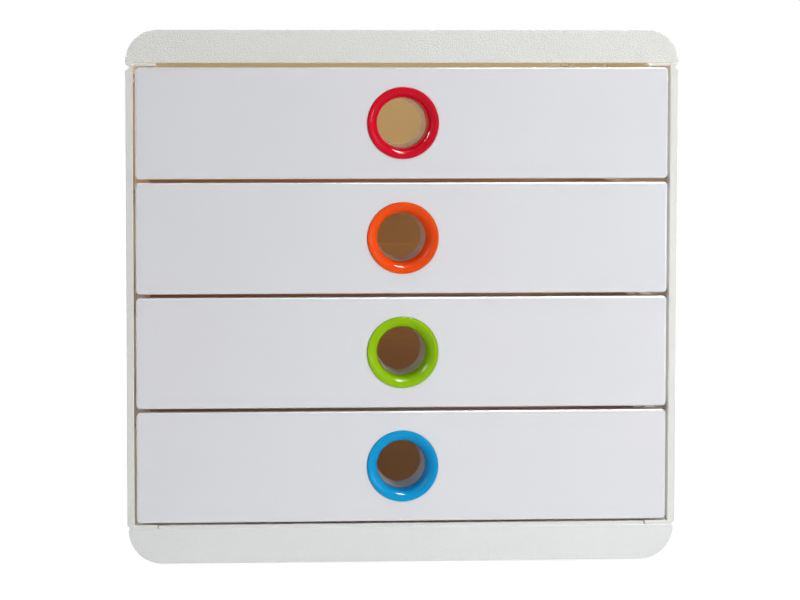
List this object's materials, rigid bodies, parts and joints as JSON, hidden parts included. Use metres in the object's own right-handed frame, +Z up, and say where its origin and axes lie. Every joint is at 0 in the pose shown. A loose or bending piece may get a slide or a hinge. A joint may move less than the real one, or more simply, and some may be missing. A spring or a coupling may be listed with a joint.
{
  "type": "desktop drawer cabinet",
  "caption": "Squat white plastic desktop drawer cabinet with a rounded lid and base; the drawers slide out on side rails and are pulled by round coloured finger rings.",
  "frame": {"origin": "on the table under the middle of the cabinet, level with the undersides of the foot pads", "axes": "+Z up, -Y out of the front where the drawers open, +X to the right seen from the front"},
  "size_m": [0.265, 0.34, 0.257],
  "materials": {
    "casing_plastic": "off-white, finely grained",
    "front_plastic": "white, smooth and glossy",
    "tray_plastic": "warm white, satin, lets some light through",
    "red_ring": "glossy red",
    "orange_ring": "glossy orange",
    "lime_ring": "glossy lime green",
    "blue_ring": "glossy light blue",
    "foot_rubber": "soft grey, matte",
    "screw_steel": "plain zinc-plated"
  },
  "bodies": {
    "cabinet": {"lid": "casing_plastic", "base": "casing_plastic", "left_side_panel": "casing_plastic", "right_side_panel": "casing_plastic", "back_panel": "casing_plastic", "lid_screws": "screw_steel", "base_screws": "screw_steel", "foot_front_left": "foot_rubber", "foot_front_right": "foot_rubber", "foot_back_left": "foot_rubber", "foot_back_right": "foot_rubber"},
    "drawer_1": {"drawer_1_tray": "tray_plastic", "drawer_1_front": "front_plastic", "drawer_1_ring": "red_ring"},
    "drawer_2": {"drawer_2_tray": "tray_plastic", "drawer_2_front": "front_plastic", "drawer_2_ring": "orange_ring"},
    "drawer_3": {"drawer_3_tray": "tray_plastic", "drawer_3_front": "front_plastic", "drawer_3_ring": "lime_ring"},
    "drawer_4": {"drawer_4_tray": "tray_plastic", "drawer_4_front": "front_plastic", "drawer_4_ring": "blue_ring"}
  },
  "joints": [
    {"name": "drawer_1_slide", "type": "slide", "parent": "cabinet", "child": "drawer_1", "axis": [0, -1, 0], "range_m": [0, 0.244]},
    {"name": "drawer_2_slide", "type": "slide", "parent": "cabinet", "child": "drawer_2", "axis": [0, -1, 0], "range_m": [0, 0.244]},
    {"name": "drawer_3_slide", "type": "slide", "parent": "cabinet", "child": "drawer_3", "axis": [0, -1, 0], "range_m": [0, 0.244]},
    {"name": "drawer_4_slide", "type": "slide", "parent": "cabinet", "child": "drawer_4", "axis": [0, -1, 0], "range_m": [0, 0.244]}
  ]
}
